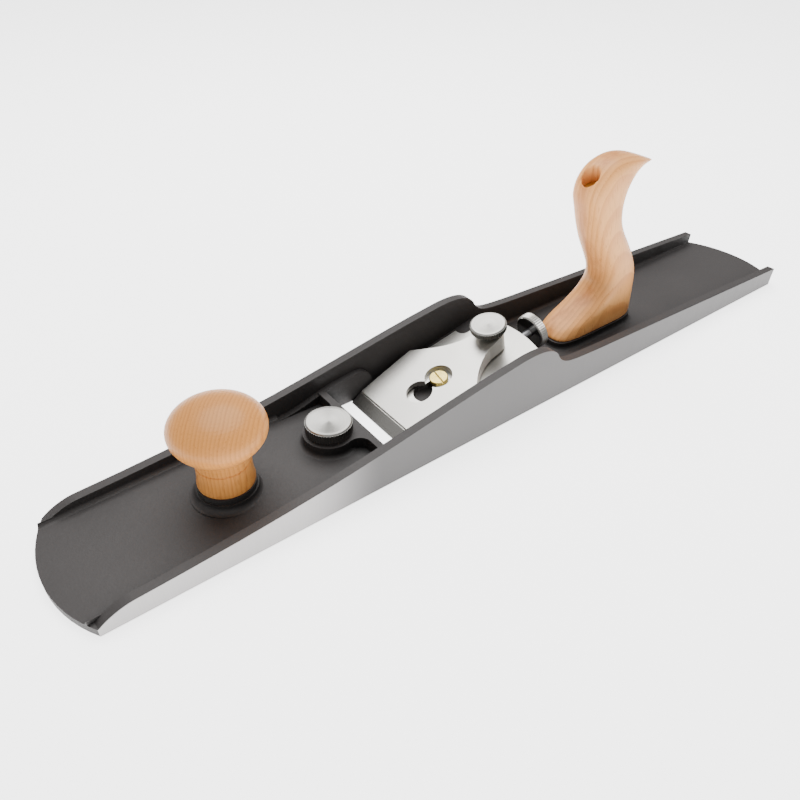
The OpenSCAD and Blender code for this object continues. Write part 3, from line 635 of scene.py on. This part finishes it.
class PLANE_OT_adjuster(bpy.types.Operator):
    """Finish the blade adjuster and cut the thread that shows in front of its wheel"""

    bl_idname = "plane.adjuster"
    bl_label = "Adjuster"

    def execute(self, context):
        finishes = context.scene.plane_finishes
        steel = plain_metal("adjuster_steel", ADJUSTER_STEEL, 0.32)
        dress("adjuster_wheel", wheel_steel(finishes))
        dress("adjuster_wheel_screw", plain_metal("grub_black", BLACKED_STEEL, 0.45, 0.6))
        dress("adjuster_rod", steel)
        dress("adjuster_swivel", plain_metal("swivel_brass", finishes.brass_colour, 0.38))
        dress("adjuster_carriage", steel)
        dress("adjuster_pin", steel)
        dress("adjuster_clip", plain_metal("clip_black", BLACKED_STEEL, 0.45, 0.6))
        self.thread(finishes.thread_pitch, steel)
        return {"FINISHED"}

    def thread(self, pitch, material):
        """A V ridge wound along the rod between the blade's tail and the wheel"""
        along = Vector((math.cos(BED_ANGLE), 0, math.sin(BED_ANGLE)))
        up = Vector((-math.sin(BED_ANGLE), 0, math.cos(BED_ANGLE)))
        side = Vector((0, 1, 0))
        rod_low, rod_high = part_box("adjuster_rod")
        rod_radius = (rod_high.y - rod_low.y) / 2
        wheel_low, wheel_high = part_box("adjuster_wheel")
        wheel_radius = (wheel_high.y - wheel_low.y) / 2
        lean_x = wheel_radius * math.sin(BED_ANGLE)
        wheel_width = (wheel_high.x - wheel_low.x - 2 * lean_x) / math.cos(BED_ANGLE)
        wheel_front = Vector((wheel_low.x + lean_x, 0, 0))
        wheel_front.z = wheel_high.z - wheel_radius * math.cos(BED_ANGLE) - wheel_width * math.sin(BED_ANGLE)
        length = 11 * MM
        clear_of_wheel = 0.3 * MM
        ridge_half_width = 0.45
        steps_per_turn = 28
        turns = length / pitch
        steps = int(turns * steps_per_turn)
        points = []
        faces = []
        for i in range(steps + 1):
            turn = 2 * math.pi * turns * i / steps
            outward = up * math.cos(turn) + side * math.sin(turn)
            centre = wheel_front - along * (clear_of_wheel + length * (1 - i / steps))
            for offset, height in ((-ridge_half_width, -0.1), (0, 0.32), (ridge_half_width, -0.1)):
                points.append(centre + along * (offset * pitch) + outward * (rod_radius + height * MM))
            if i < steps:
                a = 3 * i
                for k in range(3):
                    faces.append((a + k, a + (k + 1) % 3, a + 3 + (k + 1) % 3, a + 3 + k))
        faces += [(2, 1, 0), (3 * steps, 3 * steps + 1, 3 * steps + 2)]
        mesh = mesh_from("adjuster_thread", points, faces)
        new_piece("adjuster_thread", mesh, material, "adjuster_screw")


class PLANE_OT_stage(bpy.types.Operator):
    """Set up the floor, the soft lights and the camera"""

    bl_idname = "plane.stage"
    bl_label = "Stage"

    def execute(self, context):
        studio = context.scene.plane_studio
        self.floor(studio)
        self.lights(context, studio)
        self.camera(context, studio)
        return {"FINISHED"}

    def floor(self, studio):
        reach = 30.0
        below_sole = 0.4 * MM
        painted_corner_shade = [(-reach, -reach, 0), (reach, -reach, 0), (reach, reach, 0), (-reach, reach, 0)]
        mesh = mesh_from("floor", painted_corner_shade, [(0, 1, 2, 3)], smooth=False)
        floor = bpy.data.objects.new("floor", mesh)
        floor.location.z = -below_sole
        bpy.context.scene.collection.objects.link(floor)
        paper = Recipe("floor_paper")
        tone = paper.blend(paper.noise(3, 2), (0.93, 0.93, 0.93, 1), (0.95, 0.95, 0.95, 1))
        paper.finish(
            Base_Color=tone,
            Roughness=0.9,
            Specular_IOR_Level=0.1,
            Emission_Color=(1, 1, 1, 1),
            Emission_Strength=studio.floor_glow,
        )
        floor.data.materials.append(paper.material)

    def lights(self, context, studio):
        world = bpy.data.worlds.new("studio_white")
        world.use_nodes = True
        background = world.node_tree.nodes["Background"]
        background.inputs["Color"].default_value = (1, 1, 1, 1)
        background.inputs["Strength"].default_value = studio.daylight
        context.scene.world = world
        middle = Vector((0, 0, 0.02))
        overhead = middle + Vector((0.15, 0.35, 1.1))
        side = middle + Vector((-0.5, -1.0, 0.45))
        self.area_light("overhead", overhead, middle, 1.2, studio.overhead_power)
        self.area_light("side_fill", side, middle, 0.9, studio.side_power)

    def area_light(self, name, place, aim, size, power):
        light = bpy.data.lights.new(name, "AREA")
        light.shape = "DISK"
        light.size = size
        light.energy = power
        lamp = bpy.data.objects.new(name, light)
        lamp.location = place
        lamp.rotation_euler = (aim - place).to_track_quat("-Z", "Y").to_euler()
        bpy.context.scene.collection.objects.link(lamp)

    def camera(self, context, studio):
        data = bpy.data.cameras.new("camera")
        data.lens = studio.lens
        data.sensor_width = 36
        data.clip_start = 0.01
        camera = bpy.data.objects.new("camera", data)
        place = Vector(studio.view_from)
        facing = (Vector(studio.look_at) - place).to_track_quat("-Z", "Y").to_matrix().to_4x4()
        camera.matrix_world = Matrix.Translation(place) @ facing @ Matrix.Rotation(studio.roll, 4, "Z")
        context.scene.collection.objects.link(camera)
        context.scene.camera = camera


class PLANE_PT_panel(bpy.types.Panel):
    """Lists the plane's pieces and its finishes"""

    bl_idname = "PLANE_PT_panel"
    bl_label = "Low-Angle Bench Plane"
    bl_space_type = "VIEW_3D"
    bl_region_type = "UI"
    bl_category = "Plane"

    def draw(self, context):
        pieces = self.layout.column(align=True)
        for operator in OPERATORS:
            pieces.operator(operator.bl_idname)
        for group in (context.scene.plane_finishes, context.scene.plane_studio):
            sizes = self.layout.column()
            for name in group.__annotations__:
                sizes.prop(group, name)


OPERATORS = (
    PLANE_OT_casting,
    PLANE_OT_front_knob,
    PLANE_OT_tote,
    PLANE_OT_blade,
    PLANE_OT_lever_cap,
    PLANE_OT_mouth,
    PLANE_OT_adjuster,
    PLANE_OT_stage,
)
CLASSES = (PlaneFinishes, PlaneStudio, *OPERATORS, PLANE_PT_panel)


def register():
    for cls in CLASSES:
        bpy.utils.register_class(cls)
    bpy.types.Scene.plane_finishes = bpy.props.PointerProperty(type=PlaneFinishes)
    bpy.types.Scene.plane_studio = bpy.props.PointerProperty(type=PlaneStudio)


def unregister():
    del bpy.types.Scene.plane_studio
    del bpy.types.Scene.plane_finishes
    for cls in reversed(CLASSES):
        bpy.utils.unregister_class(cls)


def main():
    register()
    bpy.ops.plane.casting()
    bpy.ops.plane.front_knob()
    bpy.ops.plane.tote()
    bpy.ops.plane.blade()
    bpy.ops.plane.lever_cap()
    bpy.ops.plane.mouth()
    bpy.ops.plane.adjuster()
    bpy.ops.plane.stage()
    bpy.context.view_layer.update()


if __name__ == "__main__":
    main()
